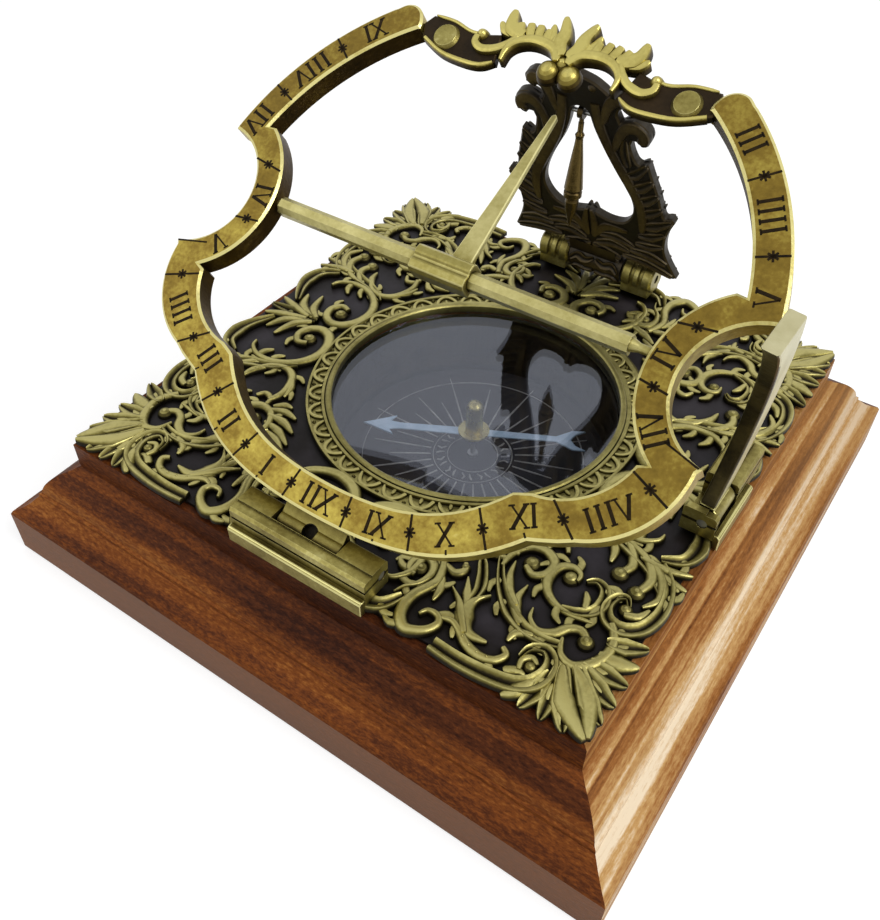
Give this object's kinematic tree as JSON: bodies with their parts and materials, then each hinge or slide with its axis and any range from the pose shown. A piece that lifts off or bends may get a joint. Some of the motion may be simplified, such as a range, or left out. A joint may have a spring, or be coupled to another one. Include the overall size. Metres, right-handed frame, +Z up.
{
  "type": "table sundial",
  "caption": "Square table sundial with sunken compass, tilting hour ring, flip-over gnomon, folding latitude arc and a lyre stand with plumb bob on a moulded wood base.",
  "frame": {"origin": "centre of the wood base's underside", "axes": "+Z up, +X to the latitude arc's side, -Y to the hour ring's hinge side"},
  "size_m": [0.14, 0.14, 0.0965],
  "materials": {
    "wood": "varnished, reddish brown",
    "brass": "aged, brushed by wear",
    "old_brass": "cast, dark patina in the hollows",
    "bronze": "dark patina",
    "slate": "matt dark grey",
    "card": "satin blue-grey",
    "steel": "satin",
    "needle": "pale blue",
    "glass": "clear"
  },
  "bodies": {
    "base": {"wood_base": "wood", "plate_screws": "old_brass", "plate_backing": "slate", "scroll_plate": "old_brass", "compass_bowl": "old_brass", "compass_card": "card", "pivot_post": "steel", "compass_glass": "glass", "compass_bezel": "brass", "ring_hinge_block": "brass", "ring_hinge_strip": "brass", "ring_hinge_pin": "steel", "arc_hinge_block": "brass", "arc_hinge_strip": "brass", "arc_hinge_pin": "steel", "stand_knuckles": "brass", "stand_hinge_pin": "steel", "hinge_screws": "old_brass"},
    "ring": {"hour_ring": "brass", "ring_tongue": "brass", "crest": "old_brass", "crest_rivets": "brass"},
    "gnomon": {"cross_bar": "brass", "gnomon_boss": "brass", "gnomon_blade": "brass"},
    "arc": {"latitude_arc": "brass", "arc_tongue": "brass"},
    "stand": {"lyre_stand": "bronze", "stand_foot": "bronze", "bob_pin": "steel"},
    "bob": {"bob_eye": "brass", "plumb_bob": "brass"},
    "needle": {"compass_needle": "needle", "needle_cap": "brass"}
  },
  "joints": [
    {"name": "ring_tilt", "type": "hinge", "parent": "base", "child": "ring", "pos_m": [-0.0001, -0.0522, 0.0334], "axis": [1, 0, 0], "range_deg": [-2, 55]},
    {"name": "gnomon_flip", "type": "hinge", "parent": "ring", "child": "gnomon", "pos_m": [0, -0.01133, 0.06617], "axis": [1, 0, 0], "range_deg": [-81, 99]},
    {"name": "arc_fold", "type": "hinge", "parent": "base", "child": "arc", "pos_m": [0.0545, 0, 0.0334], "axis": [0, 1, 0], "range_deg": [-3, 83]},
    {"name": "stand_fold", "type": "hinge", "parent": "base", "child": "stand", "pos_m": [-0.0009, 0.0542, 0.0344], "axis": [1, 0, 0], "range_deg": [-22, 10]},
    {"name": "plumb_swing", "type": "hinge", "parent": "stand", "child": "bob", "pos_m": [-0.0009, 0.03689, 0.07724], "axis": [1, 0, 0], "range_deg": [-35, 15]},
    {"name": "needle_spin", "type": "hinge", "parent": "base", "child": "needle", "pos_m": [0, 0, 0.0191], "axis": [0, 0, 1], "continuous": true}
  ]
}
